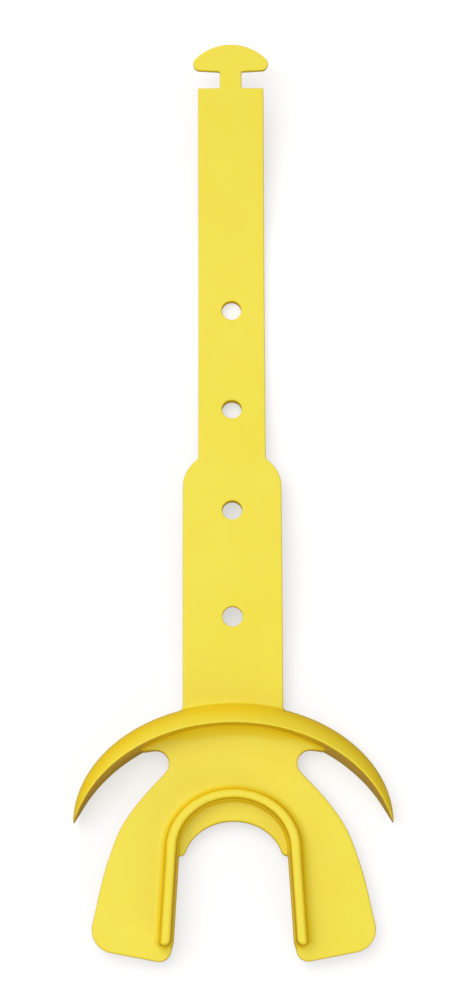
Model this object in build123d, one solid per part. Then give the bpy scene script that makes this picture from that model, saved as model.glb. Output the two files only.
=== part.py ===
# Strap mouthguard, moulded in one piece from soft EVA: a bite plate, a lip guard with two horns and a
# strap with four holes that ends in a toggle. The moulding is divided where it flexes, so that each region
# is a solid of its own.
# Millimetres. +Y runs along the strap to the toggle, +X is one side of the mouth, +Z is up.
from build123d import *
import math
import os

# Strap
strap_thickness = 2.1
near_strap_width = 23.3
far_strap_width = 16.0
shoulder_length = 6.8  # along the strap, from the end of the wide part to its full width
hole_radius = 2.35
hole_pitch = 25.4
first_hole = 20.3  # from the lip guard's outermost line to the nearest hole
root_hinge = 6.0  # from the same line to the first bend
past_shoulder = 2.1  # from the wide part's end to the bend beyond it
tail_length = 42.5  # plain strap from the last bend between holes to the neck
tail_bends = 3

# Pitch of each stretch of strap above level, in degrees, from the lip guard outwards
near_pitch = 5
shoulder_pitch = -5
middle_pitch = -7
level_pitch = 0
tail_pitches = [8, 12, 14]

# Toggle
neck_width = 5.3
neck_length = 4.0
toggle_width = 18.3
toggle_length = 6.6
toggle_crown = 3.3  # rise of the domed end above its corners
toggle_core_width = 6.4
dome_end_share = 0.92  # of the half width, where the domed end meets the rounded tip
under_end_share = 0.86  # of the half width, where the underside meets the tip
under_rise = 0.26  # of the underside there, above its foot at the neck
dome_point = (0.47, 0.77)  # a point of the dome, as shares of the half width and of the crown

# Lip guard: an ellipsoid bulge, hollowed by a cone of ellipses that leans inwards towards the floor
bulge_half_width = 36.75
bulge_depth = 27.3
bulge_half_height = 13.5
floor_wall = 5.7  # from the bulge's front to the hollow, at the floor
floor_back = 12.0  # how far the hollow's ellipse is set back there, which points the horns
rim_wall = 5.2
rim_back = 6.0
rim_height = 11.5
behind = 2.0  # how far behind the bulge's centre the horns may reach
tip_inset = 0.3  # how far inside the bulge's sides the hollow comes out, which ends the horns
horn_root_across = 22.5

# Bite plate
plate_thickness = 2.5
web_setback = 2.2  # from the horn's root in to the end of the web that joins plate and lip guard
web_thickness = 1.6  # of that web, between the slot and the lip guard
slot_radius = 3.05
slot_across = 17.85
slot_leaves_at = 220  # degrees round the slot's end, where the arm's outer edge begins
arm_edge = [(20.7, 5.85), (25.6, -1.0), (28.74, -9.05)]
arm_corner = (33.35, -28.25)
arm_corner_reach = 5.5
arm_inner_corner = (14.35, -31.85)
arm_inner_reach = 3.1
arm_hinge = -8.3

# Ridge behind the teeth, and the ledge inside its front
ridge_centre = -6.3
ridge_inner = (12.8, 11.5)
ridge_width_front = 2.6
ridge_width_arm = 3.1
ridge_end = -26.5
ridge_height_arm = 4.8
ridge_height_front = 3.0
ledge_thickness = 1.9
ledge_opening = (11.4, 9.6)
ledge_opening_centre = -9.4
ledge_clear = 0.7  # from the arms' flex line to the ledge

# How far each kind of flex line opens, in degrees either way
strap_flex = 60
wing_flex = 75
horn_flex = 12
arm_flex = 10
spare = 1  # degrees of relief beyond each range

roomy = 200  # the size of a trimming block that is larger than the guard

# Bends between the stretches, measured along the strap
holes = [first_hole + k * hole_pitch for k in range(4)]
wide_end = holes[1] + hole_pitch / 2
bends = [root_hinge, (holes[0] + holes[1]) / 2, wide_end + past_shoulder, (holes[2] + holes[3]) / 2]
bends += [holes[3] + hole_pitch / 2 + k * tail_length / tail_bends for k in range(tail_bends)]
strap_end = holes[3] + hole_pitch / 2 + tail_length
pitches = [near_pitch, near_pitch, shoulder_pitch, middle_pitch, level_pitch] + tail_pitches
stations = [0] + bends + [strap_end]

# The level stretch lies on the floor, which sets the height of the strap's root and of the bite plate
drops = [(b - a) * math.sin(math.radians(p)) for a, b, p in zip(stations, stations[1:], pitches)]
root_height = strap_thickness / 2 - sum(drops[: pitches.index(level_pitch)])


def strap_plane(station):
    """The strap's middle surface at a distance along it: x across, y along, z out of its upper face."""
    y, z = bulge_depth, root_height
    for start, end, pitch in zip(stations, stations[1:], pitches):
        slope = math.radians(pitch)
        run = min(station, end) - start
        y += run * math.cos(slope)
        z += run * math.sin(slope)
        if station <= end:
            break
    normal = (0, -math.sin(slope), math.cos(slope))
    return Plane(origin=(0, y, z), x_dir=(1, 0, 0), z_dir=normal)


def pointed(origin, towards, axis, flex, depth=40.0, span=120.0):
    """A block that keeps what lies towards one side of a flex line, relieved so that it can turn by flex."""
    relief = depth * math.tan(math.radians(flex / 2 + spare))
    far = 2 * span
    outline = Polyline((0, 0), (relief, depth), (far, depth), (far, -depth), (relief, -depth), close=True)
    return Plane(origin=origin, x_dir=towards, z_dir=axis) * extrude(make_face(outline), span, both=True)


def stretch(start, end, outline):
    """A flat stretch of strap between two bends, from its outline in the strap's plane."""
    plane = strap_plane((start + end) / 2)
    return plane * Pos(0, -(start + end) / 2) * extrude(outline, strap_thickness / 2, both=True)


def strip(start, end, width):
    return Pos(0, (start + end) / 2) * Rectangle(width, end - start)


def turned(k):
    """Degrees of flex plus the bend that the strap already has at flex line k."""
    return strap_flex + abs(pitches[k + 1] - pitches[k])


def relieved(solid, index):
    """Trims a stretch of strap to the flex lines at its two ends."""
    for k, side in ((index - 1, 1), (index, -1)):
        if 0 <= k < len(bends):
            middle = strap_plane((stations[index] + stations[index + 1]) / 2)
            ahead = middle.y_dir * side
            solid = solid & pointed(strap_plane(bends[k]).origin, ahead, (1, 0, 0), turned(k))
    return solid


nodes = {}

# Lip guard and horns
def inner_ellipse(height):
    """The hollow's half axes and set-back at a height above the floor."""
    share = height / rim_height
    back = floor_back + (rim_back - floor_back) * share
    deep = bulge_depth - floor_wall + (floor_wall - rim_wall) * share + back
    wide = (bulge_half_width - tip_inset) / math.sqrt(1 - (back / deep) ** 2)
    return wide, deep, back


def hollow_face(height):
    wide, deep, back = inner_ellipse(height)
    return Pos(0, -back, height) * Ellipse(wide, deep)


def inner_face(across):
    """Where the hollow's face stands at the bite plate's level, at a distance to one side."""
    wide, deep, back = inner_ellipse(root_height)
    return deep * math.sqrt(1 - (across / wide) ** 2) - back


def outer_face(across):
    return bulge_depth * math.sqrt(1 - (across / bulge_half_width) ** 2)


top = root_height + bulge_half_height
bulge = Pos(0, 0, root_height) * scale(Sphere(1), by=(bulge_half_width, bulge_depth, bulge_half_height))
hollow = loft([hollow_face(-1), hollow_face(top + 1)], ruled=True)
in_front = Pos(0, bulge_depth - behind, top) * Box(roomy, 2 * bulge_depth, 2 * top)
crescent = (bulge & in_front) - hollow

horn_root = (horn_root_across, (inner_face(horn_root_across) + outer_face(horn_root_across)) / 2)
slope_x = horn_root[0] / bulge_half_width**2
slope_y = horn_root[1] / bulge_depth**2
lean = math.atan2(slope_x, slope_y)
lip_guard = crescent
for side, name in ((1, "right"), (-1, "left")):
    root = (side * horn_root[0], horn_root[1], 0)
    outwards = (side * math.cos(lean), -math.sin(lean), 0)
    inwards = (-outwards[0], -outwards[1], 0)
    nodes["lip_guard_horn_" + name] = crescent & pointed(root, outwards, (0, 0, 1), horn_flex)
    lip_guard = lip_guard & pointed(root, inwards, (0, 0, 1), horn_flex)
nodes["lip_guard"] = lip_guard

# Bite plate
plate_bottom = root_height - plate_thickness / 2
plate_top = root_height + plate_thickness / 2
web_edge = horn_root_across - web_setback
slot_centre = (slot_across, inner_face(slot_across) - web_thickness - slot_radius)
slot_top = (slot_centre[0], slot_centre[1] + slot_radius)
slot_inside = (slot_centre[0] - slot_radius, slot_centre[1])
leave = math.radians(slot_leaves_at)
slot_leave = (slot_centre[0] + slot_radius * math.cos(leave), slot_centre[1] + slot_radius * math.sin(leave))
leave_tangent = (-math.sin(leave), math.cos(leave))


def along(start, end, reach):
    """The point at a distance from start on the way to end."""
    length = math.dist(start, end)
    return tuple(a + (b - a) * reach / length for a, b in zip(start, end))


inner_start = (ridge_inner[0], ridge_centre)
outer_end = along(arm_corner, arm_edge[-1], arm_corner_reach)
end_start = along(arm_corner, arm_inner_corner, arm_corner_reach)
end_stop = along(arm_inner_corner, arm_corner, arm_inner_reach)
inner_end = along(arm_inner_corner, inner_start, arm_inner_reach)
wall_middle = (inner_face(0) + outer_face(0)) / 2
ledge_end = arm_hinge + ledge_clear


def direction(start, end):
    return tuple(b - a for a, b in zip(start, end))


half_plate = [
    Line((0, wall_middle), (web_edge, horn_root[1])),
    Line((web_edge, horn_root[1]), (web_edge, slot_top[1])),
    Line((web_edge, slot_top[1]), slot_top),
    ThreePointArc(slot_top, slot_inside, slot_leave),
    Spline(slot_leave, *arm_edge, outer_end, tangents=[leave_tangent, direction(outer_end, arm_corner)]),
    TangentArc(outer_end, end_start, tangent=direction(outer_end, arm_corner)),
    Line(end_start, end_stop),
    TangentArc(end_stop, inner_end, tangent=direction(end_stop, arm_inner_corner)),
    Line(inner_end, inner_start),
    EllipticalCenterArc((0, ridge_centre), *ridge_inner, 0, arc_size=90),
    Line((0, ridge_centre + ridge_inner[1]), (0, wall_middle)),
]
half = make_face(half_plate)
plate = Pos(0, 0, plate_bottom) * extrude(half + mirror(half, Plane.YZ), plate_thickness)

# Ridge
ridge_outer = (ridge_inner[0] + ridge_width_arm, ridge_inner[1] + ridge_width_front)
foot = along(inner_start, inner_end, ridge_centre - ridge_end)
foot_outer = (foot[0] + ridge_width_arm, foot[1])
foot_tip = (foot[0] + ridge_width_arm / 2, foot[1] - ridge_width_arm / 2)
half_ridge = [
    EllipticalCenterArc((0, ridge_centre), *ridge_outer, 0, arc_size=90),
    Line((ridge_outer[0], ridge_centre), foot_outer),
    ThreePointArc(foot_outer, foot_tip, foot),
    Line(foot, inner_start),
    EllipticalCenterArc((0, ridge_centre), *ridge_inner, 0, arc_size=90),
    Line((0, ridge_centre + ridge_inner[1]), (0, ridge_centre + ridge_outer[1])),
]
half = make_face(half_ridge)
ridge = Pos(0, 0, plate_top) * extrude(half + mirror(half, Plane.YZ), ridge_height_arm)
ridge_front_y = ridge_centre + ridge_outer[1]
fall = math.atan2(ridge_height_arm - ridge_height_front, ridge_front_y - arm_hinge)
crest = Plane(origin=(0, arm_hinge, plate_top + ridge_height_arm), z_dir=(0, math.sin(fall), math.cos(fall)))
ridge = ridge - crest * Pos(0, 0, roomy / 2) * Box(roomy, roomy, roomy)

flex_line = (0, arm_hinge, root_height)
front_block = pointed(flex_line, (0, 1, 0), (1, 0, 0), arm_flex)
nodes["bite_plate_front"] = (plate & front_block) - crescent
nodes["lingual_ridge_front"] = ridge & front_block
for side, name in ((1, "right"), (-1, "left")):
    this_side = Pos(side * roomy / 2, 0, 0) * Box(roomy, roomy, roomy)
    arm_block = pointed(flex_line, (0, -1, 0), (1, 0, 0), arm_flex) & this_side
    nodes["bite_arm_" + name] = plate & arm_block
    nodes["lingual_ridge_" + name] = ridge & arm_block

# Ledge inside the front of the ridge
ledge_outer = along(inner_start, inner_end, ridge_centre - ledge_end)
half_ledge = [
    EllipticalCenterArc((0, ridge_centre), *ridge_inner, 0, arc_size=90),
    Line(inner_start, ledge_outer),
    Line(ledge_outer, (0, ledge_end)),
    Line((0, ledge_end), (0, ridge_centre + ridge_inner[1])),
]
half = make_face(half_ledge)
ledge = half + mirror(half, Plane.YZ)
ledge = ledge - Pos(0, ledge_opening_centre) * Ellipse(*ledge_opening)
nodes["incisor_ledge"] = Pos(0, 0, plate_bottom) * extrude(ledge, ledge_thickness)

# Strap
buried = bulge_depth - wall_middle
root_piece = stretch(0, root_hinge, strip(-buried, root_hinge, near_strap_width))
nodes["strap_root"] = relieved(root_piece, 0) - crescent

half_near = near_strap_width / 2
half_far = far_strap_width / 2
step = half_near - half_far
shoulder_radius = (shoulder_length**2 + step**2) / (2 * step)
shoulder_foot = wide_end - shoulder_length
shoulder_angle = math.asin(shoulder_length / shoulder_radius) / 2
shoulder_point = (
    half_near - shoulder_radius * (1 - math.cos(shoulder_angle)),
    shoulder_foot + shoulder_radius * math.sin(shoulder_angle),
)
half_shoulder = [
    Line((0, bends[1]), (half_near, bends[1])),
    Line((half_near, bends[1]), (half_near, shoulder_foot)),
    ThreePointArc((half_near, shoulder_foot), shoulder_point, (half_far, wide_end)),
    Line((half_far, wide_end), (half_far, bends[2])),
    Line((half_far, bends[2]), (0, bends[2])),
    Line((0, bends[2]), (0, bends[1])),
]
half = make_face(half_shoulder)
shoulder = half + mirror(half, Plane.YZ)

section_names = ["strap_section_near", "strap_section_shoulder", "strap_section_middle", "strap_section_far"]
section_outlines = [
    strip(bends[0], bends[1], near_strap_width),
    shoulder,
    strip(bends[2], bends[3], far_strap_width),
    strip(bends[3], bends[4], far_strap_width),
]
for index, (name, outline) in enumerate(zip(section_names, section_outlines), start=1):
    pierced = outline - Pos(0, holes[index - 1]) * Circle(hole_radius)
    nodes[name] = relieved(stretch(stations[index], stations[index + 1], pierced), index)

tail_names = ["strap_tail_near", "strap_tail_middle", "strap_tail_end"]
for index, name in enumerate(tail_names, start=5):
    outline = strip(stations[index], stations[index + 1], far_strap_width)
    nodes[name] = relieved(stretch(stations[index], stations[index + 1], outline), index)

# Toggle: its plane continues the last stretch of strap
end_plane = strap_plane(strap_end)
neck_relief = pointed((0, 0, 0), (0, 1, 0), (1, 0, 0), strap_flex)
tail_relief = pointed((0, 0, 0), (0, -1, 0), (1, 0, 0), strap_flex)
neck = extrude(Pos(0, neck_length / 2) * Rectangle(neck_width, neck_length), strap_thickness / 2, both=True)
nodes["toggle_neck"] = end_plane * (neck & neck_relief)
nodes["strap_tail_end"] = nodes["strap_tail_end"] & (end_plane * tail_relief)

half_toggle = toggle_width / 2
toggle_end = neck_length + toggle_length
dome_end = (dome_end_share * half_toggle, toggle_end - toggle_crown)
dome_middle = (dome_point[0] * half_toggle, toggle_end - toggle_crown * (1 - dome_point[1]))
under_end = (under_end_share * half_toggle, neck_length + under_rise)
tip = (half_toggle, (dome_end[1] + under_end[1]) / 2)
half_head = [
    Line((0, neck_length), (neck_width / 2, neck_length)),
    Line((neck_width / 2, neck_length), under_end),
    ThreePointArc(under_end, tip, dome_end),
    ThreePointArc(dome_end, dome_middle, (0, toggle_end)),
    Line((0, toggle_end), (0, neck_length)),
]
half = make_face(half_head)
head = extrude(half + mirror(half, Plane.YZ), strap_thickness / 2, both=True)
core = head
for side, name in ((1, "right"), (-1, "left")):
    fold = (side * toggle_core_width / 2, 0, 0)
    nodes["toggle_wing_" + name] = end_plane * (head & pointed(fold, (side, 0, 0), (0, 1, 0), wing_flex))
    core = core & pointed(fold, (-side, 0, 0), (0, 1, 0), wing_flex)
nodes["toggle_core"] = end_plane * core

# The frame's origin is under the middle of the whole part, on the floor
box = Compound(list(nodes.values())).bounding_box()
to_frame = Pos(0, -box.center().Y, -box.min.Z)

os.makedirs("parts", exist_ok=True)
for name, solid in nodes.items():
    export_step(to_frame * solid, "parts/" + name + ".step")
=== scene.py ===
import math

import bmesh
import bpy
import numpy as np
from mathutils import Matrix, Vector


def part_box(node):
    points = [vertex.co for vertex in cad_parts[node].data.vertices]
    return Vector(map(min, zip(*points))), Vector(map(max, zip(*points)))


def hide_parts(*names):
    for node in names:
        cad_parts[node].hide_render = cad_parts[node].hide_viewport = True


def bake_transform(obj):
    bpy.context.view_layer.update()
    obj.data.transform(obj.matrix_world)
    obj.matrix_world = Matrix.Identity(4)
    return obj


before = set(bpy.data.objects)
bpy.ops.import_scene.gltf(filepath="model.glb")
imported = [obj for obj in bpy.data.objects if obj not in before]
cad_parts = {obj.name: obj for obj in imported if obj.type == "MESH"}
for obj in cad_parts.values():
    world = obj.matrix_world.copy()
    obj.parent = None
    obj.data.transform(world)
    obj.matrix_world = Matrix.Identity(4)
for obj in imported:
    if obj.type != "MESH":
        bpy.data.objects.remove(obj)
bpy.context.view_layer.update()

# Strap mouthguard in soft yellow EVA. Sizes are millimetres and degrees, and a mesh is made in metres.
# The arch frame has its origin at the middle of the mouth, on the floor, with y along the strap.
mm = 0.001
bulgeDepth = 27.3  # the lip guard's front, ahead of that origin
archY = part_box("lip_guard")[1][1] / mm - bulgeDepth
plateLow, plateHigh = (corner[2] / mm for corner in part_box("bite_plate_front"))
rootHeight = (plateLow + plateHigh) / 2


# Outlines are lists of points. A folded outline is the right half of a shape that is even about x = 0.
def arcThrough(start, middle, end, steps=10):
    a, b, c = (np.array(p, float) for p in (start, middle, end))
    ab, ac = b - a, c - a
    cross = 2 * (ab[0] * ac[1] - ab[1] * ac[0])
    abSquare, acSquare = ab @ ab, ac @ ac
    offset = np.array([ac[1] * abSquare - ab[1] * acSquare, ab[0] * acSquare - ac[0] * abSquare])
    centre = a + offset / cross
    radius = np.linalg.norm(a - centre)
    first, last = (math.atan2(*(p - centre)[::-1]) for p in (a, c))
    if cross > 0 and last < first:
        last += 2 * math.pi
    if cross < 0 and last > first:
        last -= 2 * math.pi
    angles = np.linspace(first, last, steps + 1)
    return [tuple(centre + radius * np.array([math.cos(t), math.sin(t)])) for t in angles]


def towards(start, end, reach):
    length = math.dist(start, end)
    return tuple(a + (b - a) * reach / length for a, b in zip(start, end))


def roundedCorner(before, corner, after, reach, steps=8):
    # an arc tangent to both sides of a corner, starting at a reach from it
    start, end = towards(corner, before, reach), towards(corner, after, reach)
    chordMiddle = tuple((a + b) / 2 for a, b in zip(start, end))
    opening = math.atan2(math.dist(start, end) / 2, math.dist(corner, chordMiddle))
    middle = towards(corner, chordMiddle, reach * (1 / math.cos(opening) - math.tan(opening)))
    return arcThrough(start, middle, end, steps)


def quarterEllipse(centreY, wide, deep, steps=40):
    return [(wide * math.cos(t), centreY + deep * math.sin(t)) for t in np.linspace(0, math.pi / 2, steps)]


def smoothThrough(points, firstTangent, lastTangent, steps=10):
    # a cubic curve through the points, with its first and last directions given
    points = np.array(points, float)
    spans = np.linalg.norm(np.diff(points, axis=0), axis=1)
    slopes = [np.array(firstTangent) / np.linalg.norm(firstTangent)]
    for k in range(1, len(points) - 1):
        before = (points[k] - points[k - 1]) / spans[k - 1]
        after = (points[k + 1] - points[k]) / spans[k]
        slopes.append((before * spans[k] + after * spans[k - 1]) / (spans[k] + spans[k - 1]))
    slopes.append(np.array(lastTangent) / np.linalg.norm(lastTangent))
    made = []
    for k, span in enumerate(spans):
        for t in np.linspace(0, 1, steps, endpoint=False):
            made.append(
                (2 * t**3 - 3 * t**2 + 1) * points[k] + (t**3 - 2 * t**2 + t) * span * slopes[k]
                + (3 * t**2 - 2 * t**3) * points[k + 1] + (t**3 - t**2) * span * slopes[k + 1]
            )
    return [tuple(p) for p in made] + [tuple(points[-1])]


# Solids are fields: the distance to the surface, negative inside the plastic.
def foldedOutline(x, y, chain):
    x = np.abs(x)
    shape = np.broadcast(x, y).shape
    nearest = np.full(shape, np.inf)
    inside = np.zeros(shape, bool)
    for (ax, ay), (bx, by) in zip(chain, chain[1:]):
        ex, ey = bx - ax, by - ay
        if not (ex or ey):
            continue
        along = np.clip(((x - ax) * ex + (y - ay) * ey) / (ex * ex + ey * ey), 0, 1)
        nearest = np.minimum(nearest, (x - ax - along * ex) ** 2 + (y - ay - along * ey) ** 2)
        if ay != by:
            inside = inside ^ (((ay > y) != (by > y)) & (x < ax + (y - ay) / (by - ay) * ex))
    return np.where(inside, -1.0, 1.0) * np.sqrt(nearest)


def ellipseField(x, y, wide, deep):
    reach = np.sqrt((x / wide) ** 2 + (y / deep) ** 2) + 1e-6
    slope = np.sqrt((x / wide**2) ** 2 + (y / deep**2) ** 2) + 1e-9
    return reach * (reach - 1) / slope


def meet(a, b, edge):
    # what both hold, with a round of that radius along the edge
    corner = np.hypot(np.maximum(edge + a, 0), np.maximum(edge + b, 0))
    return np.minimum(-edge, np.maximum(a, b)) + corner


def join(a, b, fillet):
    # what either holds, with a fillet of that radius in the corner
    corner = np.hypot(np.maximum(fillet - a, 0), np.maximum(fillet - b, 0))
    return np.maximum(fillet, np.minimum(a, b)) - corner


def ease(value, start, end):
    t = np.clip((value - start) / (end - start), 0, 1)
    return t * t * (3 - 2 * t)


def fieldMesh(field, low, high, cell):
    # a vertex in each cell that the surface crosses and a quad round each crossed edge
    axes = [np.arange(a, b + cell, cell) for a, b in zip(low, high)]
    value = field(*np.meshgrid(*axes, indexing="ij", sparse=True))
    shape = [n - 1 for n in value.shape]
    inside = value < 0

    def corner(grid, i, j, k):
        return grid[i : i + shape[0], j : j + shape[1], k : k + shape[2]]

    count = sum(corner(inside, i, j, k).astype(np.int8) for i in (0, 1) for j in (0, 1) for k in (0, 1))
    crossed = (count > 0) & (count < 8)
    number = np.full(crossed.shape, -1)
    number[crossed] = np.arange(crossed.sum())
    total, hits = np.zeros((crossed.sum(), 3)), np.zeros(crossed.sum())
    for axis in range(3):
        step = [int(axis == n) for n in range(3)]
        for one in (0, 1):
            for other in (0, 1):
                start = [one, other]
                start.insert(axis, 0)
                a = corner(value, *start)[crossed]
                b = corner(value, *[s + d for s, d in zip(start, step)])[crossed]
                cuts = (a < 0) != (b < 0)
                share = np.where(cuts, a / np.where(cuts, a - b, 1), 0)
                place = np.array(start, float) + np.outer(share, step)
                total[cuts] += place[cuts]
                hits[cuts] += 1
    points = (np.argwhere(crossed) + total / hits[:, None]) * cell + np.array([a[0] for a in axes])
    quads = []
    for axis in range(3):
        u, v = (axis + 1) % 3, (axis + 2) % 3
        near = [slice(None)] * 3
        near[axis] = slice(0, -1)
        far = list(near)
        far[axis] = slice(1, None)
        a, b = inside[tuple(near)], inside[tuple(far)]
        edges = np.argwhere(a != b)
        leaving = a[tuple(edges.T)]
        room = (edges[:, [u, v]] > 0).all(1) & (edges[:, [u, v]] < (shape[u], shape[v])).all(1)
        edges, leaving = edges[room], leaving[room]
        ring = []
        for du, dv in ((1, 1), (0, 1), (0, 0), (1, 0)):
            cellOf = edges.copy()
            cellOf[:, u] -= du
            cellOf[:, v] -= dv
            ring.append(number[tuple(cellOf.T)])
        ring = np.stack(ring, 1)
        ring[leaving] = ring[leaving][:, ::-1]
        quads.append(ring[:, ::-1])
    return ontoSurface(field, points, cell), np.concatenate(quads)


def ontoSurface(field, points, cell, rounds=2, leastSlope=0.05, longestMove=0.6):
    for _ in range(rounds):
        slope, here = gradient(field, points)
        size = np.maximum((slope**2).sum(1, keepdims=True), leastSlope)
        move = slope * here[:, None] / size
        length = np.maximum(np.linalg.norm(move, axis=1, keepdims=True), 1e-9)
        points = points - move * np.minimum(1, longestMove * cell / length)
    return points


def gradient(field, points, reach=0.02):
    # from four samples round each point
    slope, here = np.zeros(points.shape), np.zeros(len(points))
    for ray in ((1, -1, -1), (-1, -1, 1), (-1, 1, -1), (1, 1, 1)):
        value = field(*(points + reach * np.array(ray)).T)
        slope += np.outer(value, ray) / (4 * reach)
        here += value / 4
    return slope, here


# the strap's line runs away from the lip guard in the arch frame, and a station is a length along it
strapSizes = {
    "thickness": 2.1,
    "edgeRound": 0.3,
    "nearWidth": 23.3,
    "farWidth": 16.0,
    "holeRadius": 2.35,
    "holeRimRound": 0.3,
    "holeCount": 4,
    "firstHole": 20.3,  # from the lip guard's outermost line
    "holePitch": 25.4,
    "shoulderLength": 6.8,
    "tailLength": 42.5,
    "tailBends": 3,
    "pitches": [5, 5, -5, -7, 0, 8, 12, 14],  # of each stretch above level, from the lip guard outwards
    "rootBend": 6.0,
    "pastShoulder": 2.1,
    "bendReach": 5.5,  # how far a bend is rounded to each side
    "bendZone": 6.0,  # and how far it flexes
    "rootZone": (0.2, 11.8),
    "rootSeam": 13.0,
    "seams": [39.3, 77.4, 90.2, 116.2, 130.4],  # from one strap piece to the next
    "sectionStep": 3.0,
    "bendSections": 8,
    "shoulderSections": 13,
    "holeClearance": 0.8,
    "closestSections": 0.25,
    "rimSegments": 3,
    "sharpAngle": 40,
}
holes = [strapSizes["firstHole"] + k * strapSizes["holePitch"] for k in range(strapSizes["holeCount"])]
wideEnd = holes[1] + strapSizes["holePitch"] / 2
tailStart = holes[3] + strapSizes["holePitch"] / 2
bends = [strapSizes["rootBend"], (holes[0] + holes[1]) / 2, wideEnd + strapSizes["pastShoulder"]]
bends += [(holes[2] + holes[3]) / 2]
tailBends = strapSizes["tailBends"]
bends += [tailStart + k * strapSizes["tailLength"] / tailBends for k in range(tailBends)]
strapEnd = tailStart + strapSizes["tailLength"]
stations = [0, *bends, strapEnd]


def straightLine(station):
    y, z = bulgeDepth, rootHeight
    for start, end, pitch in zip(stations, stations[1:], strapSizes["pitches"]):
        run = (station if end == strapEnd else min(station, end)) - start
        y += run * math.cos(math.radians(pitch))
        z += run * math.sin(math.radians(pitch))
        if station <= end:
            break
    return np.array([y, z])


def strapLine(station):
    # the straight stretches, with each bend rounded over its reach
    reach = strapSizes["bendReach"]
    for bend in bends:
        t = (station - bend + reach) / (2 * reach)
        if 0 < t < 1:
            a, b, c = (straightLine(s) for s in (bend - reach, bend, bend + reach))
            return (1 - t) ** 2 * a + 2 * t * (1 - t) * b + t * t * c
    return straightLine(station)


def strapPoint(station):
    y, z = strapLine(station)
    return (0.0, (y + archY) * mm, z * mm)


def halfWidth(station):
    near, far = strapSizes["nearWidth"] / 2, strapSizes["farWidth"] / 2
    step, length = near - far, strapSizes["shoulderLength"]
    radius = (length**2 + step**2) / (2 * step)
    if station >= wideEnd:
        return far
    into = max(0, station - wideEnd + length)
    return near - radius + math.sqrt(radius**2 - into**2)


# the guard is lip guard, bite plate, ridge, ledge and the strap's root in one
lipSizes = {
    "halfWidth": 36.75,
    "halfHeight": 13.5,
    "floorWall": 5.7,
    "floorBack": 12.0,
    "rimWall": 5.2,
    "rimBack": 6.0,
    "rimHeight": 11.5,
    "tipInset": 0.3,
    "rimRound": 0.48,
    "tipRound": 0.36,
    "tipsFrom": (20, 35),  # where the rim narrows to the tips
    "floorRound": 0.5,
    "hornRoot": 22.5,
    "hornZone": 2.0,
    "hornSeamGap": 0.1,
    "wallReach": (15, -3, 4.2),  # across, along and thickness that hold each end of the wall
    "backLimit": -2,
}
plateSizes = {
    "edgeRound": 0.35,
    "webSetback": 2.2,
    "web": 1.6,
    "slotRadius": 3.05,
    "slotAcross": 17.85,
    "slotLeaves": 220,
    "armEdge": [(20.7, 5.85), (25.6, -1.0), (28.74, -9.05)],
    "armCorner": (33.35, -28.25),
    "armCornerReach": 5.5,
    "innerCorner": (14.35, -31.85),
    "innerCornerReach": 3.1,
    "armHinge": -8.3,
    "armZone": 6.0,
    "armSeamGap": 0.5,
    "lipFillet": 3.6,  # between lip guard and plate, at the front
    "frontEase": (8, 17),  # where that fillet gives way to the next
    "webFillet": 1.6,  # and beside the slots and underneath
    "rootFillet": 0.8,
}
ridgeSizes = {
    "centre": -6.3,
    "inner": (12.8, 11.5),
    "frontWidth": 2.6,
    "armWidth": 3.1,
    "end": -26.5,
    "armHeight": 4.8,
    "frontHeight": 3.0,
    "outerDraft": 0.17,  # lean of the outer side, across for each unit up
    "innerDraft": 0.05,
    "topRound": 0.7,
    "footFillet": 1.5,
    "ledgeThickness": 1.9,
    "ledgeOpening": (11.4, 9.6),
    "ledgeCentre": -9.4,
    "ledgeEnd": -7.6,
    "ledgeRound": 0.5,
    "ledgeEndRound": 0.8,
    "ledgeUnderRidge": 1.2,
    "sunkInPlate": 1,
    "leanReach": 30.0,
}


def hollowEllipse(height):
    share = height / lipSizes["rimHeight"]
    back = lipSizes["floorBack"] + (lipSizes["rimBack"] - lipSizes["floorBack"]) * share
    deep = bulgeDepth - lipSizes["floorWall"] + (lipSizes["floorWall"] - lipSizes["rimWall"]) * share + back
    wide = (lipSizes["halfWidth"] - lipSizes["tipInset"]) / np.sqrt(1 - (back / deep) ** 2)
    return wide, deep, back


def innerFace(across):
    wide, deep, back = hollowEllipse(rootHeight)
    return deep * math.sqrt(1 - (across / wide) ** 2) - back


def wallCentre(across):
    outerFace = bulgeDepth * math.sqrt(1 - (across / lipSizes["halfWidth"]) ** 2)
    return (innerFace(across) + outerFace) / 2


hornRoot = (lipSizes["hornRoot"], wallCentre(lipSizes["hornRoot"]))
hornLean = math.atan2(hornRoot[0] / lipSizes["halfWidth"] ** 2, hornRoot[1] / bulgeDepth**2)
wallMiddle = wallCentre(0)


def plateOutline():
    s = plateSizes
    webEdge = lipSizes["hornRoot"] - s["webSetback"]
    centre = (s["slotAcross"], innerFace(s["slotAcross"]) - s["web"] - s["slotRadius"])
    leave = math.radians(s["slotLeaves"])
    top = (centre[0], centre[1] + s["slotRadius"])
    inside = (centre[0] - s["slotRadius"], centre[1])
    out = (centre[0] + s["slotRadius"] * math.cos(leave), centre[1] + s["slotRadius"] * math.sin(leave))
    corner, inner = s["armCorner"], s["innerCorner"]
    outerEnd = towards(corner, s["armEdge"][-1], s["armCornerReach"])
    lastWay = (corner[0] - outerEnd[0], corner[1] - outerEnd[1])
    innerStart = (ridgeSizes["inner"][0], ridgeSizes["centre"])
    chain = [(0, wallMiddle), (webEdge, hornRoot[1]), (webEdge, top[1])]
    chain += arcThrough(top, inside, out, steps=24)
    chain += smoothThrough([out, *s["armEdge"], outerEnd], (-math.sin(leave), math.cos(leave)), lastWay)
    chain += roundedCorner(s["armEdge"][-1], corner, inner, s["armCornerReach"], steps=16)
    chain += roundedCorner(corner, inner, innerStart, s["innerCornerReach"], steps=12)
    chain += quarterEllipse(ridgeSizes["centre"], *ridgeSizes["inner"])
    return chain


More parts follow.
